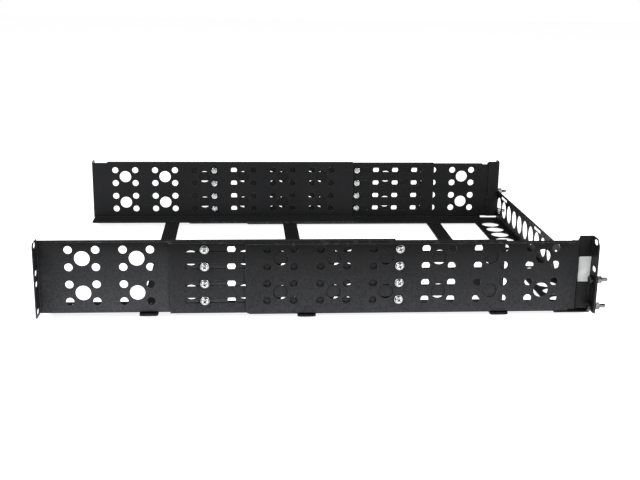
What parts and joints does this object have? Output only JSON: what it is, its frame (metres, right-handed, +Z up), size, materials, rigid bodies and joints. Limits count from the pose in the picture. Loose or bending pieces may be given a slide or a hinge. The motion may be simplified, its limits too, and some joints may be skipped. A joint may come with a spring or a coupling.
{
  "type": "adjustable server rack rail pair",
  "caption": "Two telescoping perforated sheet steel rack rails with inward ledges, joined by flat cross bars and a vented front bracket, sliding to fit the rack's depth.",
  "frame": {"origin": "centre of the closed pair's bounding box in X and Y, on the plane of the lowest fasteners under the cross bars", "axes": "+X along the rails towards the front rack flanges and the vented bracket, +Y across the rack to the right rail as seen from the front, +Z up"},
  "size_m": [0.6444, 0.487, 0.0945],
  "materials": {
    "powder_coat": "fine textured black powder coat",
    "zinc_plate": "bright zinc plate",
    "dark_steel": "black oxide"
  },
  "bodies": {
    "front_frame": {"right_front_section": "powder_coat", "right_front_lock_screws": "zinc_plate", "right_front_lock_washers": "zinc_plate", "right_front_lock_nuts": "zinc_plate", "right_ear_screws": "zinc_plate", "right_ear_washers": "dark_steel", "right_ear_spring_washers": "zinc_plate", "right_ear_nuts": "zinc_plate", "left_front_section": "powder_coat", "left_front_lock_screws": "zinc_plate", "left_front_lock_washers": "zinc_plate", "left_front_lock_nuts": "zinc_plate", "left_ear_screws": "zinc_plate", "left_ear_washers": "dark_steel", "left_ear_spring_washers": "zinc_plate", "left_ear_nuts": "zinc_plate", "front_bracket": "powder_coat", "middle_cross_bar": "powder_coat", "front_cross_bar": "powder_coat", "middle_bar_screws": "zinc_plate", "front_bar_screws": "zinc_plate"},
    "rear_frame": {"right_rear_section": "powder_coat", "right_rear_lock_screws": "zinc_plate", "right_rear_lock_washers": "zinc_plate", "right_rear_lock_nuts": "zinc_plate", "left_rear_section": "powder_coat", "left_rear_lock_screws": "zinc_plate", "left_rear_lock_washers": "zinc_plate", "left_rear_lock_nuts": "zinc_plate", "rear_cross_bar": "powder_coat", "rear_bar_screws": "zinc_plate"},
    "right_plate": {"right_slide_plate": "powder_coat"},
    "left_plate": {"left_slide_plate": "powder_coat"}
  },
  "joints": [
    {"name": "rear_frame_slide", "type": "slide", "parent": "front_frame", "child": "rear_frame", "axis": [-1, 0, 0], "range_m": [0, 0.12]},
    {"name": "right_plate_slide", "type": "slide", "parent": "front_frame", "child": "right_plate", "axis": [-1, 0, 0], "range_m": [0, 0.1]},
    {"name": "left_plate_slide", "type": "slide", "parent": "front_frame", "child": "left_plate", "axis": [-1, 0, 0], "range_m": [0, 0.1]}
  ],
  "couplings": [
    {"joint": "right_plate_slide", "follows": "rear_frame_slide", "ratio": 0.8333},
    {"joint": "left_plate_slide", "follows": "rear_frame_slide", "ratio": 0.8333}
  ]
}
